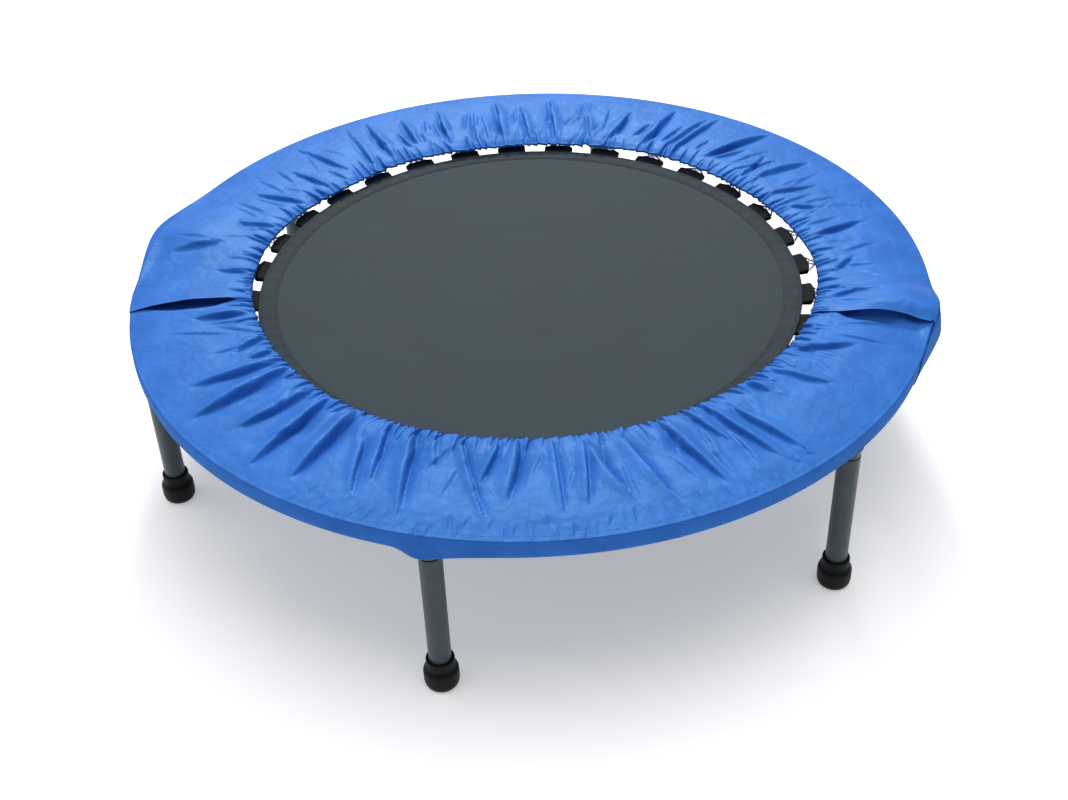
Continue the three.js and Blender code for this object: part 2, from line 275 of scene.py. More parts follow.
def thread(name, dark, light):
    n = Nodes(name, Metallic=0.0)
    fine = n.noise(400, 2.0)
    n.colour(n.ramp(fine, 0.3, 0.7, dark, light))
    n.roughness(n.spread(fine, 0.5, 0.7))
    n.bump((fine, 0.4, 0.0003))
    return n.material


def powder_coat(name, dark, light):
    n = Nodes(name, Metallic=0.1, Specular_IOR_Level=0.4, Coat_Weight=0.10, Coat_Roughness=0.3)
    orange_peel = n.noise(900, 2.0)
    smudge = n.noise(35, 5.0, 0.65)
    n.colour(n.ramp(smudge, 0.3, 0.72, dark, light))
    n.roughness(n.spread(smudge, 0.32, 0.5))
    n.bump((orange_peel, 0.25, 0.0003))
    return n.material


def zinc_steel(name):
    n = Nodes(name, Metallic=1.0)
    spangle = n.noise(260, 4.0, 0.6)
    n.colour(n.ramp(spangle, 0.3, 0.7, (0.42, 0.43, 0.44), (0.66, 0.67, 0.68)))
    n.roughness(n.spread(spangle, 0.26, 0.46))
    n.bump((spangle, 0.15, 0.0002))
    return n.material


def foot_rubber():
    n = Nodes("black_rubber", Metallic=0.0, Specular_IOR_Level=0.16)
    grain = n.noise(700, 3.0)
    dust = n.noise(60, 5.0, 0.65)
    n.colour(n.ramp(dust, 0.35, 0.75, (0.002, 0.002, 0.0024), (0.006, 0.0064, 0.007)))
    n.roughness(n.spread(dust, 0.42, 0.62))
    n.bump((grain, 0.35, 0.0003))
    return n.material


def floor_paint_and_glow():
    # Painted light: the floor glows a little with white emission, which brightens its shadow under the trampoline.
    n = Nodes("floor", Metallic=0.0, Specular_IOR_Level=0.1, Emission_Color=(1.0, 1.0, 1.0, 1.0),
              Emission_Strength=0.34)
    cloud = n.noise(2, 2.0)
    n.colour(n.ramp(cloud, 0.2, 0.8, (0.93, 0.93, 0.93), (0.95, 0.95, 0.95)))
    n.roughness(0.9)
    return n.material


MATERIALS = {
    "cover": cover_fabric(),
    "mat": mat_fabric(),
    "border": border_fabric(),
    "webbing": webbing(),
    "thread": thread("stitching_thread", (0.015, 0.018, 0.020), (0.030, 0.035, 0.038)),
    "blue_thread": thread("blue_thread", (0.026, 0.120, 0.480), (0.036, 0.160, 0.600)),
    "frame": powder_coat("frame_powder_coat", (0.018, 0.022, 0.024), (0.034, 0.040, 0.043)),
    "leg": powder_coat("leg_powder_coat", (0.019, 0.036, 0.046), (0.034, 0.060, 0.074)),
    "zinc": zinc_steel("zinc_plate"),
    "spring": zinc_steel("spring_wire"),
    "rubber": foot_rubber(),
    "floor": floor_paint_and_glow(),
}


# ---------- mesh tools ----------
def polar(radius, angle, z):
    a = math.radians(angle)
    return np.array([radius * math.cos(a), radius * math.sin(a), z])


def points_at(radius, turn, z):
    """Arrays of points from their radii, turns in radians and heights."""
    return np.stack([radius * np.cos(turn), radius * np.sin(turn), z], axis=-1)


def new_object(name, vertices, faces, material):
    mesh = bpy.data.meshes.new(name)
    mesh.from_pydata([tuple(v) for v in np.asarray(vertices, float)], [], faces)
    mesh.materials.append(MATERIALS[material])
    mesh.polygons.foreach_set("use_smooth", [True] * len(mesh.polygons))
    mesh.update()
    piece = bpy.data.objects.new(name, mesh)
    bpy.context.scene.collection.objects.link(piece)
    return piece


def grid_faces(columns, rows, closed_columns=False, closed_rows=False, start=0):
    """Quads of a grid of vertices numbered column by column."""
    faces = []
    for i in range(columns if closed_columns else columns - 1):
        for j in range(rows if closed_rows else rows - 1):
            a = start + i * rows + j
            b = start + ((i + 1) % columns) * rows + j
            up = 1 if j + 1 < rows else 1 - rows
            faces.append((a, b, b + up, a + up))
    return faces


class Build:
    """Gathers vertices and faces of several shapes into one mesh."""

    def __init__(self):
        self.vertices = []
        self.faces = []

    def add(self, vertices, faces):
        start = len(self.vertices)
        self.vertices.extend(np.asarray(vertices, float))
        self.faces.extend(tuple(start + i for i in face) for face in faces)

    def lathe(self, profile, sides, transform=None):
        """A (radius, z) profile turned about Z. Its first and last points lie on the axis."""
        inner = profile[1:-1]
        vertices = [(0, 0, profile[0][1]), (0, 0, profile[-1][1])]
        for i in range(sides):
            turn = 2 * math.pi * i / sides
            vertices += [(r * math.cos(turn), r * math.sin(turn), z) for r, z in inner]
        faces = grid_faces(sides, len(inner), closed_columns=True, start=2)
        for i in range(sides):
            here = 2 + i * len(inner)
            there = 2 + ((i + 1) % sides) * len(inner)
            faces.append((0, there, here))
            faces.append((1, here + len(inner) - 1, there + len(inner) - 1))
        self.add(moved(vertices, transform), faces)

    def wire(self, points, radius, sides=8, closed=False, transform=None):
        """A round wire along a line of points, with flat ends unless it is closed."""
        points = np.asarray(points, float)
        count = len(points)
        if closed:
            ahead = np.roll(points, -1, 0) - np.roll(points, 1, 0)
        else:
            ahead = np.gradient(points, axis=0)
        ahead /= np.linalg.norm(ahead, axis=1)[:, None]
        side = np.cross(ahead[0], (0.31, 0.17, 0.93))
        vertices = []
        for point, tangent in zip(points, ahead):
            side = side - tangent * side.dot(tangent)
            side /= np.linalg.norm(side)
            other = np.cross(tangent, side)
            for k in range(sides):
                turn = 2 * math.pi * k / sides
                vertices.append(point + radius * (math.cos(turn) * side + math.sin(turn) * other))
        faces = grid_faces(count, sides, closed_columns=closed, closed_rows=True)
        faces = [face[::-1] for face in faces]
        if not closed:
            faces.append(tuple(range(sides)))
            faces.append(tuple(range(count * sides - 1, (count - 1) * sides - 1, -1)))
        self.add(moved(vertices, transform), faces)

    def object(self, name, material):
        piece = new_object(name, self.vertices, self.faces, material)
        turn_outwards(piece)
        return piece


def turn_outwards(piece):
    """Makes the faces of every closed shape in the piece look outwards."""
    shapes = bmesh.new()
    shapes.from_mesh(piece.data)
    bmesh.ops.recalc_face_normals(shapes, faces=shapes.faces)
    shapes.to_mesh(piece.data)
    shapes.free()


def moved(vertices, transform):
    if transform is None:
        return vertices
    matrix = np.array(transform)
    return np.asarray(vertices, float) @ matrix[:3, :3].T + matrix[:3, 3]


def turned_to(angle):
    """Turns what lies along +X to the given angle about Z."""
    return Matrix.Rotation(math.radians(angle), 4, "Z")


def corner_arc(before, corner, after, cut, steps):
    """Points that round a corner off, from this far before it to this far after it."""
    before, corner, after = (np.array(p, float) for p in (before, corner, after))
    near = np.linalg.norm(before - corner)
    far = np.linalg.norm(after - corner)
    cut = min(cut, 0.45 * near, 0.45 * far)
    a = corner + (before - corner) / near * cut
    b = corner + (after - corner) / far * cut
    return [tuple((1 - t) ** 2 * a + 2 * t * (1 - t) * corner + t**2 * b)
            for t in np.linspace(0, 1, steps)]


def rounded(points, radius, steps=4):
    """An open profile with its inner corners rounded off by short arcs."""
    result = [points[0]]
    for before, corner, after in zip(points, points[1:], points[2:]):
        result += corner_arc(before, corner, after, radius, steps)
    return result + [points[-1]]


def shade_by_angle(piece, degrees=35):
    bpy.context.view_layer.objects.active = piece
    piece.select_set(True)
    bpy.ops.object.shade_smooth_by_angle(angle=math.radians(degrees))
    piece.select_set(False)


def smoothstep(x):
    x = np.clip(x, 0, 1)
    return x * x * (3 - 2 * x)


# ---------- ring tubes ----------
TUBE_SIDES = 28
TUBE_STEPS = 150
HALF_GAP_ANGLE = 0.13


def ring_tube(first_angle):
    """Half of the ring, hollow and open at both ends."""
    build = Build()
    vertices = []
    angles = np.linspace(first_angle + HALF_GAP_ANGLE, first_angle + 180 - HALF_GAP_ANGLE, TUBE_STEPS)
    turns = np.linspace(0, 2 * math.pi, TUBE_SIDES, endpoint=False)
    for radius, order in ((TUBE_RADIUS, angles), (TUBE_RADIUS - TUBE_WALL, angles[::-1])):
        for angle in order:
            vertices += [polar(RING_RADIUS + radius * math.cos(t), angle, RING_Z + radius * math.sin(t))
                         for t in turns]
    faces = grid_faces(2 * TUBE_STEPS, TUBE_SIDES, closed_columns=True, closed_rows=True)
    build.add(vertices, [face[::-1] for face in faces])
    return build


def leg_bosses(first_angle):
    """The short tubes welded under half of the ring, which the legs screw into."""
    build = Build()
    boss = rounded([(0.0055, 0.2), (0.0055, 0.1915), (0.0120, 0.1915), (0.0124, 0.2060)], 0.0008, 3)
    profile = [(0, 0.2)] + boss + [(0, 0.2060)]
    weld = [(0, 0.1990)] + [
        (0.0122 + 0.0022 * math.cos(t), 0.2030 + 0.0022 * math.sin(t))
        for t in np.linspace(-1.5, 1.5, 7)
    ] + [(0, 0.2070)]
    for angle in LEG_ANGLES:
        if first_angle < angle < first_angle + 180:
            place = Matrix.Translation(polar(RING_RADIUS, angle, 0))
            build.lathe(profile, 32, place)
            build.lathe(weld, 32, place)
    return build


def add_ring():
    for name, body, first in (("front", "front_frame", 180), ("rear", "rear_frame", 0)):
        tube = ring_tube(first).object(f"{name}_ring_tube", "frame")
        bosses = leg_bosses(first).object(f"{name}_leg_bosses", "leg")
        for piece in (tube, bosses):
            shade_by_angle(piece, 40)
            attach(piece, body)
        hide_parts(f"{name}_frame_tube")


# ---------- hinges ----------
def add_hinges():
    for side, sign in (("left", -1), ("right", 1)):
        for node in (f"hinge_fork_{side}", f"hinge_lug_{side}"):
            frame["nodes"][node].data.materials[0] = MATERIALS["frame"]
        place = Matrix.Translation((sign * RING_RADIUS, 0, FOLD_AXIS_Z))
        place = place @ Matrix.Rotation(sign * math.pi / 2, 4, "Y")
        add_bolt(side, place)
        add_nut(side, place)


def add_bolt(side, place):
    head = 0.0176
    profile = rounded(
        [(0, -0.0256), (0.0025, -0.0256), (0.0030, -0.0246), (0.0030, head), (0.0056, head),
         (0.0054, head + 0.0016), (0.0038, head + 0.0027), (0, head + 0.0030)], 0.0006, 4)
    build = Build()
    build.lathe(profile, 32, place)
    piece = build.object(f"hinge_pin_{side}", "zinc")
    shade_by_angle(piece)
    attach(piece, "front_frame")
    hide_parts(f"hinge_bolt_{side}")


def add_nut(side, place):
    """A hexagon nut with chamfered corners."""
    near, far = -0.0177, -0.0226
    flat = 0.0050
    build = Build()
    vertices = []
    sides = 48
    for i in range(sides):
        turn = 2 * math.pi * i / sides
        reach = flat / math.cos((turn + math.pi / 6) % (math.pi / 3) - math.pi / 6)
        chamfer = min(reach, flat * 1.06)
        ring = [(0.0032, near), (chamfer, near), (reach, near - 0.0005),
                (reach, far + 0.0005), (chamfer, far), (0.0032, far)]
        vertices += [(r * math.cos(turn), r * math.sin(turn), z) for r, z in ring]
    faces = grid_faces(sides, 6, closed_columns=True, closed_rows=True)
    build.add(moved(vertices, place), [face[::-1] for face in faces])
    piece = build.object(f"hinge_hex_nut_{side}", "zinc")
    shade_by_angle(piece, 20)
    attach(piece, "front_frame")
    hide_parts(f"hinge_nut_{side}")


# ---------- legs and feet ----------
def leg_profile():
    stud = [(0.0050, 0.1910)]
    pitch = 0.0015
    z = 0.1925
    while z < 0.2105:
        stud += [(0.0042, z), (0.0050, z + pitch / 2)]
        z += pitch
    outline = [(0.0113, 0.1790), (0.0113, 0.0064), (0.0125, 0.0064), (0.0125, 0.1910), (0.0050, 0.1910)]
    tube = rounded(outline, 0.0010, 4)
    return [(0, 0.1790)] + tube + stud[1:] + [(0.0040, 0.2120), (0, 0.2120)]


def foot_profile():
    outline = [
        (0.0128, 0.0063), (0.0128, 0.0392), (0.0134, 0.0400), (0.0150, 0.0400), (0.0157, 0.0388),
        (0.0157, 0.0292), (0.0161, 0.0276), (0.0186, 0.0244), (0.0193, 0.0226), (0.0195, 0.0205),
        (0.0195, 0.0090), (0.0190, 0.0052), (0.0177, 0.0022), (0.0157, 0.0004), (0.0148, 0.0),
        (0.0120, 0.0), (0.0118, 0.0006), (0.0080, 0.0006), (0.0078, 0.0),
    ]
    return [(0, 0.0063)] + rounded(outline, 0.0008, 3) + [(0, 0.0)]


def add_legs():
    for number, angle in enumerate(LEG_ANGLES, 1):
        place = Matrix.Translation(polar(RING_RADIUS, angle, 0))
        for kind, profile, material, slot in (
            ("leg", leg_profile(), "leg", "leg_paint"),
            ("foot", foot_profile(), "rubber", "foot_rubber"),
        ):
            build = Build()
            build.lathe(profile, 48, place)
            piece = build.object(f"{kind}_shell_{number}", material)
            shade_by_angle(piece, 50)
            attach(piece, f"leg_{number}")
            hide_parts(f"{kind}_{number}")


# ---------- springs ----------
WIRE_RADIUS = 0.0011
COIL_RADIUS = 0.0054
SPRING_INNER = 0.3475


def spring_line():
    """The wire of one spring along +X: a hook, a close-wound coil and a hook into the ring."""
    coil_from, coil_to = 0.3665, 0.4365
    pitch = 0.00235
    turns = round((coil_to - coil_from) / pitch)
    per_turn = 12
    t = np.arange(turns * per_turn + 1) / per_turn
    coil = np.stack([
        coil_from + t * pitch,
        COIL_RADIUS * np.sin(2 * math.pi * t),
        -COIL_RADIUS * np.cos(2 * math.pi * t),
    ], axis=1)
    hook_radius = 0.0042
    sweep = np.radians(np.linspace(-200, 0, 12))
    eye = np.array([SPRING_INNER + hook_radius, 0, 0])
    inner = [eye - hook_radius * np.array([math.cos(a), 0, math.sin(a)]) for a in sweep]
    lead_in = [(0.3600, 0, -0.0030), (0.3640, 0, -0.0050)]
    lead_out = [(0.4400, 0, -0.0046), (0.4450, 0, -0.0018)]
    outer = [(0.4500, 0, 0.0), (0.4540, 0, 0.0), (0.4572, 0, -0.0012), (0.4588, 0, -0.0042),
             (0.4590, 0, -0.0065)]
    line = np.concatenate([inner, lead_in, coil, lead_out, outer])
    line[:, 2] += RING_Z
    return line


def add_springs():
    line = spring_line()
    for number, angle in enumerate(SPRING_ANGLES, 1):
        build = Build()
        build.wire(line, WIRE_RADIUS, 6, transform=turned_to(angle))
        piece = build.object(f"spring_coil_{number:02d}", "spring")
        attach(piece, f"spring_{number:02d}")
        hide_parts(f"spring_{number:02d}")


# ---------- mat ----------
MAT_TOP = 0.2145
MAT_THICKNESS = 0.0012
MAT_MIDDLE = MAT_TOP - MAT_THICKNESS / 2
BORDER_INNER = 0.3095
BORDER_RAISE = 0.0008
TAB_WIDTH = 0.0385
TAB_INNER = 0.320
TAB_LOOP = 0.3455


def fold_across(piece):
    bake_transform(piece)


def disc_grid(inner, outer, z_of, rings, sectors):
    """A ring of quads at the heights z_of(radius, angle)."""
    radii = np.linspace(inner, outer, rings)
    angles = np.linspace(0, 360, sectors, endpoint=False)
    vertices = [polar(r, a, z_of(r, a)) for a in angles for r in radii]
    return vertices, [face[::-1] for face in grid_faces(sectors, rings, closed_columns=True)]


def thick(piece, thickness):
    """Makes a piece's mesh this thick, inwards."""
    modifier = piece.modifiers.new("thickness", "SOLIDIFY")
    modifier.thickness = thickness
    modifier.offset = -1
    evaluated = piece.evaluated_get(bpy.context.evaluated_depsgraph_get())
    mesh = bpy.data.meshes.new_from_object(evaluated)
    piece.modifiers.clear()
    old = piece.data
    piece.data = mesh
    bpy.data.meshes.remove(old)


def add_mat():
    """The woven bed, its border tape and the stitching, each one piece across the fold."""
    def bed_height(radius, angle):
        return MAT_TOP + 0.00025 * math.sin(radius * 90)

    rings, sectors = 110, 240
    vertices, faces = disc_grid(0.004, MAT_RADIUS - 0.001, bed_height, rings, sectors)
    vertices.append(np.array([0, 0, bed_height(0, 0)]))
    centre = len(vertices) - 1
    faces += [(centre, i * rings, ((i + 1) % sectors) * rings) for i in range(sectors)]
    bed = new_object("mat_bed", vertices, faces, "mat")
    thick(bed, MAT_THICKNESS)
    fold_across(bed)
    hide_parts("mat_front", "mat_rear")

    def tape_height(radius, angle):
        edge = smoothstep((radius - BORDER_INNER) / 0.002) * smoothstep((MAT_RADIUS - radius) / 0.002)
        pucker = 0.00035 * math.sin(math.radians(angle * 96)) * edge
        return MAT_TOP + 0.0001 + BORDER_RAISE * edge + pucker

    vertices, faces = disc_grid(BORDER_INNER, MAT_RADIUS, tape_height, 24, 960)
    tape = new_object("mat_border", vertices, faces, "border")
    thick(tape, 0.0006)
    fold_across(tape)

    build = Build()
    length, gap = 0.0032, 0.0020
    for radius in (BORDER_INNER + 0.0035, MAT_RADIUS - 0.0045):
        count = round(2 * math.pi * radius / (length + gap))
        for i in range(count):
            angle = 360 * i / count
            half = math.degrees(length / radius / 2)
            points = [polar(radius, angle - half, MAT_TOP + 0.0009),
                      polar(radius, angle, MAT_TOP + 0.0014),
                      polar(radius, angle + half, MAT_TOP + 0.0009)]
            build.wire(points, 0.0003, 5)
    seams = build.object("mat_stitching", "thread")
    fold_across(seams)


def tab_section():
    """A webbing strip, sewn under the mat: out, round the wire ring and back."""
    loop = 0.0030
    turn = np.linspace(math.pi / 2, -math.pi / 2, 9)
    out = [(TAB_INNER, MAT_TOP - 0.0032), (MAT_RADIUS - 0.003, MAT_TOP - 0.0030),
           (MAT_RADIUS + 0.003, MAT_MIDDLE + 0.0008)]
    round_ring = [(TAB_LOOP + loop * math.cos(t), MAT_MIDDLE + loop * math.sin(t)) for t in turn]
    back = [(MAT_RADIUS + 0.003, MAT_MIDDLE - 0.0036), (TAB_INNER, MAT_MIDDLE - 0.0046)]
    return out + round_ring + back


def add_tabs():
    section = tab_section()
    across = 9
    for name, body, first in (("front", "mat_front", 180), ("rear", "mat_rear", 0)):
        tabs, rings = Build(), Build()
        for angle in SPRING_ANGLES:
            if not first < angle < first + 180:
                continue
            vertices = []
            for i in range(across):
                y = TAB_WIDTH * (i / (across - 1) - 0.5)
                pinch = 1 - 0.012 * (2 * i / (across - 1) - 1) ** 2
                vertices += [(x if x < MAT_RADIUS else x * pinch, y, z) for x, z in section]
            tabs.add(moved(vertices, turned_to(angle)), grid_faces(across, len(section)))
            rings.wire(ring_outline(), 0.0014, 8, closed=True, transform=turned_to(angle))
        strap = tabs.object(f"webbing_tabs_{name}", "webbing")
        thick(strap, 0.0013)
        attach(strap, body)
        links = rings.object(f"v_rings_{name}", "spring")
        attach(links, body)


def ring_outline():
    """A triangular wire ring: its base runs through the tab and its point holds the spring's hook."""
    corners = [(TAB_LOOP, -0.0160), (TAB_LOOP, 0.0160), (TAB_LOOP + 0.0130, 0.0)]
    points = []
    for k, cut in enumerate((0.0022, 0.0022, 0.0020)):
        points += corner_arc(corners[k - 1], corners[k], corners[(k + 1) % 3], cut, 5)
    return [(x, y, MAT_MIDDLE) for x, y in points]


# ---------- cover ----------
TOP_ROWS = 34
SKIRT_ROWS = 9
COLUMN_ANGLE = 0.43
REAR_EDGE_LEFT = 200.6
REAR_EDGE_RIGHT = -4.3
SKIRT_FLAP_ANGLE = 10.2
FRONT_FROM = 193.5
FRONT_TO = 361.5
# The hinges lift the cloth and their bolts push it out, the front part is cut back round the
# right hinge, and the skirt is drawn down at the front leg.
HINGE_LIFT = 0.0112
BOLT_PUSH = 0.0072
NOTCH_ANGLE = 4.3
LEG_PULL = 0.0120
LEG_PULL_ANGLE = 269.6
# Height of the smooth cover from its gathered inner edge (0) to its outer seam (1).
CROWN = [(0.0, 0.2260), (0.06, 0.2295), (0.18, 0.2325), (0.5, 0.2345), (0.8, 0.2325), (0.95, 0.2300),
         (1.0, 0.2290)]
# The lowest that the cloth can lie over the springs and the tube: (radius, height).
LOWEST = [(0.33, 0.2200), (0.345, 0.2215), (0.420, 0.2222), (0.457, 0.2270), (0.478, 0.2270)]
# The gathered edge is drawn in less at the sides: (angle, radius) round the ring, judged.
INNER_EDGE = [(0, 0.347), (14, 0.353), (28, 0.347), (50, 0.341), (72, 0.343), (90, 0.335),
              (113, 0.331), (130, 0.339), (149, 0.334), (176, 0.345), (197, 0.339), (212, 0.331),
              (228, 0.327), (283, 0.325), (318, 0.327), (338, 0.335)]
# The longest folds: angle at the inner and outer end, share of the cover's width
# where the fold starts and ends, width of its steep side and depth.
LONG_FOLDS = [
    (1.0, 3.0, 0.14, 0.36, 0.006, 0.0040), (10.0, 14.0, 0.16, 0.36, 0.007, 0.0050),
    (23.0, 24.5, 0.14, 0.62, 0.007, 0.0065), (34.5, 31.5, 0.14, 0.36, 0.006, 0.0045),
    (41.0, 38.0, 0.10, 0.55, 0.006, 0.0040), (47.5, 45.5, 0.24, 0.78, 0.009, 0.0050),
    (61.0, 57.0, 0.16, 0.93, 0.009, 0.0070), (68.5, 67.0, 0.20, 0.90, 0.007, 0.0055),
    (71.0, 68.5, 0.10, 0.85, 0.006, 0.0045), (76.0, 75.0, 0.10, 0.84, 0.009, 0.0070),
    (84.0, 82.5, 0.10, 0.66, 0.007, 0.0050), (88.5, 91.0, 0.05, 0.55, 0.006, 0.0040),
    (96.5, 99.0, 0.05, 0.84, 0.007, 0.0065), (102.5, 104.5, 0.05, 0.70, 0.006, 0.0055),
    (108.5, 109.0, 0.12, 0.82, 0.008, 0.0065), (115.0, 113.5, 0.05, 0.65, 0.005, 0.0045),
    (121.0, 120.0, 0.10, 0.80, 0.006, 0.0050), (128.0, 127.5, 0.20, 0.72, 0.008, 0.0060),
    (135.0, 133.5, 0.08, 0.86, 0.007, 0.0055), (140.5, 137.5, 0.06, 0.68, 0.006, 0.0045),
    (146.0, 148.0, 0.16, 0.90, 0.005, 0.0035), (153.0, 154.5, 0.06, 0.55, 0.005, 0.0040),
    (161.5, 164.5, 0.06, 0.55, 0.006, 0.0045), (172.0, 174.5, 0.05, 0.40, 0.006, 0.0040),
    (182.0, 185.5, 0.40, 0.80, 0.009, 0.0045), (190.0, 190.5, 0.04, 0.35, 0.006, 0.0040),
    (205.0, 205.5, 0.08, 0.50, 0.008, 0.0060), (214.5, 218.0, 0.02, 0.30, 0.007, 0.0055),
    (220.0, 221.0, 0.02, 0.24, 0.006, 0.0050), (224.0, 223.3, 0.04, 0.72, 0.009, 0.0070),
    (227.5, 230.0, 0.02, 0.86, 0.012, 0.0095), (236.8, 236.2, 0.02, 0.66, 0.010, 0.0070),
    (241.2, 243.5, 0.02, 0.88, 0.010, 0.0090), (248.2, 250.0, 0.02, 0.82, 0.012, 0.0095),
    (254.0, 258.8, 0.24, 0.78, 0.007, 0.0060), (256.0, 260.0, 0.02, 0.62, 0.008, 0.0065),
    (261.5, 266.0, 0.02, 0.80, 0.011, 0.0085), (270.0, 277.3, 0.02, 0.82, 0.006, 0.0055),
    (277.5, 275.3, 0.06, 0.50, 0.006, 0.0050), (281.0, 279.8, 0.02, 0.64, 0.011, 0.0080),
    (287.0, 287.2, 0.05, 0.76, 0.007, 0.0055), (292.5, 290.5, 0.08, 0.72, 0.008, 0.0065),
    (293.5, 296.5, 0.16, 0.76, 0.007, 0.0055), (299.2, 302.0, 0.08, 0.86, 0.009, 0.0070),
    (307.2, 309.0, 0.05, 0.82, 0.009, 0.0070), (312.5, 314.5, 0.04, 0.50, 0.006, 0.0045),
    (316.5, 318.0, 0.08, 0.80, 0.008, 0.0060), (320.0, 321.5, 0.20, 0.84, 0.008, 0.0055),
    (328.0, 328.5, 0.02, 0.24, 0.008, 0.0060), (334.0, 336.0, 0.06, 0.55, 0.007, 0.0040),
    (342.5, 347.5, 0.06, 0.50, 0.008, 0.0060),
]


def inner_edge_radius(angle):
    angles, radii = zip(*INNER_EDGE)
    spread = [np.interp(np.asarray(angle) + shift, angles, radii, period=360) for shift in (-4, 0, 4)]
    return sum(spread) / 3


def base_cover(angle, s):
    """Radius and height of the smooth cover: s runs from 0 at the inner edge to 1 at the outer
    seam, and on to 2 at the bottom of the skirt."""
    top = np.clip(s, 0, 1)
    down = np.clip(s - 1, 0, 1)
    inner = inner_edge_radius(angle)
    radius = inner + (COVER_RADIUS - inner) * top
    raised_front = 0.006 * np.clip(-np.sin(np.radians(angle)), 0, 1) ** 1.5
    height = np.interp(top, *zip(*CROWN)) + raised_front * np.clip(1 - top / 0.35, 0, 1)
    height = height - down * (COVER_SEAM_Z - COVER_HEM_Z + leg_pull(angle))
    radius = radius + 0.0012 * np.sin(math.pi * down) - 0.0008 * down
    return radius, height


def leg_pull(angle):
    """How far the skirt is drawn down round the front leg: sharply on its left, gently on its right."""
    off = (np.asarray(angle) - LEG_PULL_ANGLE + 180) % 360 - 180
    left = np.exp(-(np.abs(off) / 2.5) ** 3)
    right = np.exp(-(np.abs(off) / 4.2) ** 1.2)
    return LEG_PULL * np.where(off < 0, left, right)


def steep_side(angle):
    """+1 where a fold's steep side looks towards larger angles, -1 where it looks the other way:
    the steep sides look to the front, and to the right at the very front."""
    return 1 if 88 < angle % 360 < 303 else -1


def fold_shape(angle, s, radius, fold):
    """One lens-shaped valley with a sharp bottom, a steep side, and a soft ridge above that side.
    Gives the height and the sideways lean."""
    inner_angle, outer_angle, start, end, width, depth = fold
    along = np.clip((s - start) / (end - start), 0, 1)
    line = inner_angle + (outer_angle - inner_angle) * along
    side = steep_side(inner_angle)
    turned = (angle - line + 180) % 360 - 180
    across = side * np.radians(turned) * radius
    swell = np.sin(math.pi * along**0.8) ** 0.75
    reach = width * (0.34 + 0.50 * swell)
    soft = np.sqrt(across**2 + 0.0006**2)
    valley = np.exp(-np.where(across < 0, (soft / (0.50 * reach)) ** 1.4, soft / (1.05 * reach)))
    ridge = np.exp(-((across + 1.05 * reach) / (0.85 * reach)) ** 2)
    height = swell * depth * (0.62 * ridge - 1.25 * valley)
    lean = side * swell * depth * 0.75 * ridge
    return height, lean


def folds(angle, s, chosen):
    height, lean = np.zeros_like(s), np.zeros_like(s)
    inner = inner_edge_radius(angle)
    radius = inner + (COVER_RADIUS - inner) * np.clip(s, 0, 1)
    for fold in chosen:
        more_height, more_lean = fold_shape(angle, s, radius, fold)
        height += more_height
        lean += more_lean
    return height, lean


def seeded_folds(angle, s, first, last):
    """The long folds of this part of the cover, with slight ones scattered between them, which
    are deeper at the very rear."""
    chosen = [fold for fold in LONG_FOLDS if first + (fold[0] - first) % 360 < last]
    centre = first
    while centre < last:
        start = rng.uniform(0.0, 0.4)
        end = start + rng.uniform(0.2, 0.5)
        deeper = 2.0 if 50 < centre < 135 else 1.0
        chosen.append((centre, centre + rng.normal(0, 2.0), start, end, rng.uniform(0.004, 0.007),
                       deeper * rng.uniform(0.0008, 0.0022)))
        centre += rng.uniform(1.5, 4.5)
    return folds(angle, s, chosen)


def mouth(s, low, high, lean=0.85):
    """How wide a slit in the cover is at each place along it, from 0 at its ends to 1."""
    along = np.clip((s - low) / (high - low), 0, 1)
    return np.sin(math.pi * along**lean) ** 0.8


def over_hinge(x, y, side, front_reach, rear_reach, flat_from=0.0, flat_to=0.0, rim_reach=0.044):
    """How far the cloth is held up over one hinge: it falls off to the front and to the rear of
    its flat part, and like a small tent at the rim."""
    aside = np.maximum(0, flat_from - y) / front_reach + np.maximum(0, y - flat_to) / rear_reach
    rim = smoothstep((side * x - 0.464) / 0.016)
    inside = smoothstep((side * x - 0.365) / 0.080) * np.exp(-aside**2)
    at_rim = np.exp(-(np.abs(y + 0.004) / rim_reach) ** 1.8)
    return HINGE_LIFT * ((1 - rim) * inside + rim * (side * x > 0) * at_rim)


def round_bolt_head(x, y, side, reach=0.032):
    """How far the cloth is held out by the end of a hinge bolt."""
    return BOLT_PUSH * smoothstep((side * x - 0.455) / 0.025) * np.exp(-((y + 0.002) / reach) ** 2)


class Cover:
    """A grid of points over one part of the cover: columns round the ring, rows outwards. The
    columns near its first edge run on by right_edge(s) degrees, those near its last edge stop
    short by notch(s)."""
    edge_share = 0.12
    notch_share = 0.042

    def __init__(self, first, last, right_edge=None, notch=None):
        self.s = np.concatenate([np.linspace(0, 1, TOP_ROWS), 1 + np.linspace(0, 1, SKIRT_ROWS)[1:]])
        count = round((last - first) / COLUMN_ANGLE) + 1
        share = np.linspace(0, 1, count)[:, None]
        angle = first + (last - first) * share + 0 * self.s[None]
        if right_edge:
            angle = angle - right_edge(self.s)[None] * np.clip(1 - share / self.edge_share, 0, 1) ** 1.5
        if notch:
            angle = angle - notch(self.s)[None] * np.clip(1 - (1 - share) / self.notch_share, 0, 1)
        self.angle = angle
        self.grid_s = np.broadcast_to(self.s[None], self.angle.shape)
        self.first = first
        self.last = last

    def flat_place(self):
        """Where the smooth cover's points lie, seen from above."""
        radius, _ = base_cover(self.angle, self.grid_s)
        turn = np.radians(self.angle)
        return radius * np.cos(turn), radius * np.sin(turn)

    def place(self, height, lean, outward, held):
        radius, z = base_cover(self.angle, self.grid_s)
        turn = np.radians(self.angle) + lean / radius
        self.points = points_at(radius + outward, turn, z + height)
        self.held = held


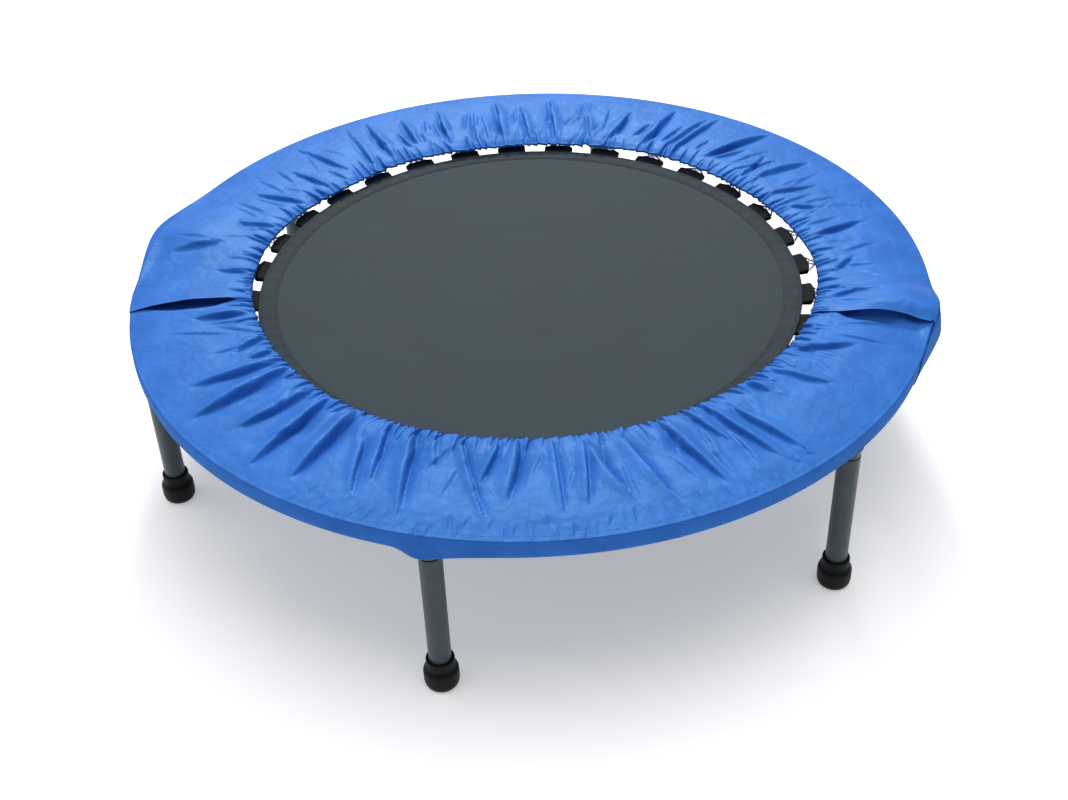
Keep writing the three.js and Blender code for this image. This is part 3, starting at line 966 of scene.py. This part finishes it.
def simulate(cover):
    """Lets the cloth buckle round its folds: it is cut a little longer round the ring than the
    folded shape, and held at its edges, over the hinges and at the slits."""
    columns, rows = cover.angle.shape
    fullness = 1.035
    frames = 16
    turn = np.arctan2(cover.points[..., 1], cover.points[..., 0])
    turn = np.unwrap(turn, axis=0) * fullness
    radius = np.hypot(cover.points[..., 0], cover.points[..., 1])
    rest = points_at(radius, turn, cover.points[..., 2])
    piece = new_object("cloth_in_work", cover.points.reshape(-1, 3), grid_faces(columns, rows), "cover")
    piece.shape_key_add(name="Basis")
    key = piece.shape_key_add(name="rest")
    key.data.foreach_set("co", rest.reshape(-1).astype(np.float32))
    hold = np.array(cover.held, float)
    hold[:, cover.s >= 0.94] = 1
    hold[:, :2] = 1
    hold[:3] = 1
    hold[-3:] = 1
    group = piece.vertex_groups.new(name="held")
    group.add(np.flatnonzero(hold > 0.5).tolist(), 1.0, "REPLACE")
    cloth = piece.modifiers.new("cloth", "CLOTH")
    settings = {"quality": 6, "mass": 0.12, "tension_stiffness": 12, "compression_stiffness": 12,
                "shear_stiffness": 2, "bending_stiffness": 0.2, "tension_damping": 8,
                "compression_damping": 8, "air_damping": 3, "vertex_group_mass": "held",
                "rest_shape_key": piece.data.shape_keys.key_blocks["rest"]}
    for setting, value in settings.items():
        setattr(cloth.settings, setting, value)
    cloth.settings.effector_weights.gravity = 0.0
    cloth.collision_settings.use_collision = False
    cloth.point_cache.frame_start = 1
    cloth.point_cache.frame_end = frames
    scene = bpy.context.scene
    for number in range(1, frames + 1):
        scene.frame_set(number)
    evaluated = piece.evaluated_get(bpy.context.evaluated_depsgraph_get())
    settled = np.zeros(columns * rows * 3, np.float32)
    evaluated.data.vertices.foreach_get("co", settled)
    bpy.data.objects.remove(piece)
    scene.frame_set(1)
    cover.points = settled.reshape(columns, rows, 3).astype(float)


def kept_off_springs(points):
    """Lifts what has sunk below the springs and the tube, with a soft limit."""
    radius = np.hypot(points[..., 0], points[..., 1])
    below = np.interp(radius, *zip(*LOWEST)) - points[..., 2]
    soft = 0.0008
    lift = soft * np.log1p(np.exp(np.clip(below / soft, -30, 30)))
    result = points.copy()
    result[..., 2] += lift * (radius < COVER_RADIUS - 0.003)
    return result


def refined(points, axis):
    """Twice as many points along one axis, on smooth curves through the old ones."""
    points = np.moveaxis(points, axis, 0)
    padded = np.concatenate([2 * points[:1] - points[1:2], points, 2 * points[-1:] - points[-2:-1]])
    middle = (9 * (padded[1:-2] + padded[2:-1]) - padded[:-3] - padded[3:]) / 16
    result = np.empty((2 * len(points) - 1, *points.shape[1:]))
    result[::2] = points
    result[1::2] = middle
    return np.moveaxis(result, 0, axis)


def small_gathers(first, last):
    """Short folds at the elastic inner edge, and crinkles along the front's outer seam."""
    gathers = []
    crinkled_from, crinkled_to = 252, 322
    centre = first
    while centre < last:
        lean = rng.normal(0, 1.2)
        gathers.append((centre, centre + lean, -0.12, rng.uniform(0.10, 0.26),
                        rng.uniform(0.0022, 0.0040), rng.uniform(0.0014, 0.0034)))
        centre += rng.uniform(0.9, 2.3)
    centre = max(first, crinkled_from)
    while centre < min(last, crinkled_to):
        start = rng.uniform(0.76, 0.90)
        gathers.append((centre, centre + rng.normal(0, 0.5), start, start + rng.uniform(0.08, 0.16),
                        rng.uniform(0.0020, 0.0030), rng.uniform(0.0008, 0.0018)))
        centre += rng.uniform(0.9, 2.2)
    return gathers


def ruffles(points, s, first, last):
    angle = np.unwrap(np.arctan2(points[..., 1], points[..., 0]), axis=0)
    height, lean = folds(np.degrees(angle), s, small_gathers(first, last))
    radius = np.hypot(points[..., 0], points[..., 1])
    drawn_in = radius - 0.45 * height * (s < 0.3)
    return points_at(drawn_in, angle + lean / radius, points[..., 2] + height)


def outwards(points):
    """Level directions of length 1, away from the ring's middle."""
    level = points * (1, 1, 0)
    return level / np.linalg.norm(level, axis=-1, keepdims=True)


def casing_rows(points):
    """Rows that turn the inner edge under, round its elastic."""
    edge = points[:, :1]
    away = outwards(edge)
    thickness = 0.0021
    turns = np.radians([250, 215, 180, 145, 115])
    rows = [edge + thickness * (away * (1 + math.cos(t)) + np.array([0, 0, math.sin(t) - 0.6]))
            for t in turns]
    return np.concatenate(rows + [points], axis=1)


def hem_rows(points):
    """Rows that turn the skirt's bottom edge inwards."""
    edge = points[:, -1:]
    away = outwards(edge)
    turned_in = ((0.0004, 0.0007), (0.0014, 0.0009), (0.0020, 0.0002), (0.0021, -0.0060))
    rows = [edge - away * inwards - np.array([0, 0, down]) for inwards, down in turned_in]
    return np.concatenate([points] + rows, axis=1)


def seam_ridge(points, s):
    """A raised welt along the outer seam."""
    welt = np.exp(-((s - 1.0) / 0.012) ** 2)[..., None]
    return points + welt * (outwards(points) * 0.0006 + np.array([0, 0, 0.0003]))


def stitch_row(points, name, lift):
    """Stitches along a row of points, each over some of its columns."""
    build = Build()
    length, gap = 3, 2
    for i in range(2, len(points) - length - 2, length + gap):
        build.wire(points[i:i + length] + lift, 0.00014, 5)
    return build.object(name, "blue_thread")


def finished_cloth(name, cover):
    """Refines the grid, adds the gathers, welt, casing and hem, and makes the mesh."""
    s = cover.grid_s[..., None]
    points = kept_off_springs(cover.points)
    for axis in (0, 1):
        points = refined(points, axis)
        s = refined(s, axis)
    s = s[..., 0]
    points = ruffles(points, s, cover.first, cover.last)
    points = seam_ridge(points, s)
    whole = hem_rows(casing_rows(points))
    faces = [face[::-1] for face in grid_faces(*whole.shape[:2])]
    piece = new_object(name, whole.reshape(-1, 3), faces, "cover")
    seam = 2 * TOP_ROWS - 2
    upper = stitch_row(points[:, seam - 3], name + "_top_stitching", np.array([0, 0, 0.0001]))
    above_hem = points[:, -5]
    lower = stitch_row(above_hem + outwards(above_hem) * 0.0001, name + "_hem_stitching", 0)
    return piece, upper, lower


def front_cover():
    """The front part, which dips under the rear part's edges at both slits. Its right end is cut
    back round the hinge, so that the rear tube doesn't come down on it when the frame folds."""
    def notch(s):
        return NOTCH_ANGLE * smoothstep((s - 0.72) / 0.07)

    cover = Cover(FRONT_FROM, FRONT_TO, notch=notch)
    angle, s = cover.angle, cover.grid_s
    height, lean = seeded_folds(angle, s, FRONT_FROM + 8, FRONT_TO - 6)
    down = np.clip(s - 1, 0, 1)
    left_lip = REAR_EDGE_LEFT - 0.6 + 2.4 * mouth(s, 0.10, 0.98)
    right_lip = 360 + REAR_EDGE_RIGHT + 0.6 - 2.2 * mouth(s, 0.18, 1.0)
    x, y = cover.flat_place()
    hinge = 0.92 * over_hinge(x, y, 1, 0.013, 0.013, -0.012, 0.05)
    dip = 0.0100 * mouth(s, 0.06, 1.0) * smoothstep((left_lip - angle) / 1.6)
    beside_fork = smoothstep((0.450 - x) / 0.030)
    dip = dip + 0.0120 * mouth(s, 0.14, 1.0) * smoothstep((angle - right_lip) / 1.1) * beside_fork
    dip = dip * np.clip(1 - hinge / 0.006, 0, 1)
    height = height - dip + hinge * (1 - down)
    held = np.maximum(hinge > 0.003, dip > 0.003)
    cover.place(height, lean, 0.75 * round_bolt_head(x, y, 1), held)
    return cover


def rear_cover():
    """The rear part: its edges lie over the front part, and its skirt runs on past the right slit."""
    def flap(s):
        return SKIRT_FLAP_ANGLE * np.clip((s - 1) / 0.13, 0, 1) * (0.75 + 0.25 * np.clip(s - 1, 0, 1))

    cover = Cover(REAR_EDGE_RIGHT, REAR_EDGE_LEFT, right_edge=flap)
    angle, s = cover.angle, cover.grid_s
    height, lean = seeded_folds(angle, s, REAR_EDGE_RIGHT + 4, REAR_EDGE_LEFT - 8)
    down = np.clip(s - 1, 0, 1)
    left = mouth(s, 0.06, 1.0) * np.exp(-np.abs((angle - REAR_EDGE_LEFT) / 5.0) ** 1.6)
    right = mouth(s, 0.20, 1.0, 1.35) * np.exp(-np.abs((angle - REAR_EDGE_RIGHT) / 6.0) ** 1.6)
    x, y = cover.flat_place()
    left_hinge = over_hinge(x, y, -1, 0.040, 0.060, rim_reach=0.080)
    hinges = left_hinge + over_hinge(x, y, 1, 0.017, 0.045, -0.016, 0.004)
    over_front = np.maximum(smoothstep((angle - 192) / 4), smoothstep(-angle / 3))
    height = height + 0.0045 * left + 0.0070 * right + (hinges + 0.0012 * over_front) * (1 - down)
    flare = 0.0068 * down**1.2 * smoothstep((angle + 13) / 9) * smoothstep((24 - angle) / 16)
    outward = round_bolt_head(x, y, -1, 0.060) + round_bolt_head(x, y, 1) + flare + 0.0011 * over_front
    held = np.maximum(hinges > 0.005, np.maximum(left, right) > 0.35)
    cover.place(height, lean, outward, held)
    return cover


def add_cover():
    for name, cover, node in (("cover_skirted_front", front_cover(), "cover_front"),
                              ("cover_skirted_rear", rear_cover(), "cover_rear")):
        simulate(cover)
        cloth, *threads = finished_cloth(name, cover)
        for piece in (cloth, *threads):
            if node == "cover_front":
                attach(piece, "front_frame")
            else:
                fold_across(piece)
        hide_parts(node)


def add_floor():
    reach = 6
    corners = [(-reach, -reach, 0), (reach, -reach, 0), (reach, reach, 0), (-reach, reach, 0)]
    floor = new_object("floor", corners, [(0, 1, 2, 3)], "floor")


add_camera()
add_world(0.26)
add_ring()
add_hinges()
add_legs()
add_springs()
add_mat()
add_tabs()
add_cover()
add_floor()
add_light("overhead", (0.1, 0.0, 3.6), 3.2, 88)
add_light("key", (-0.95, 3.4, 3.1), 1.0, 142)
add_light("fill", (-3.2, -0.3, 1.1), 2.0, 16)
bpy.context.scene.view_settings.view_transform = "Standard"
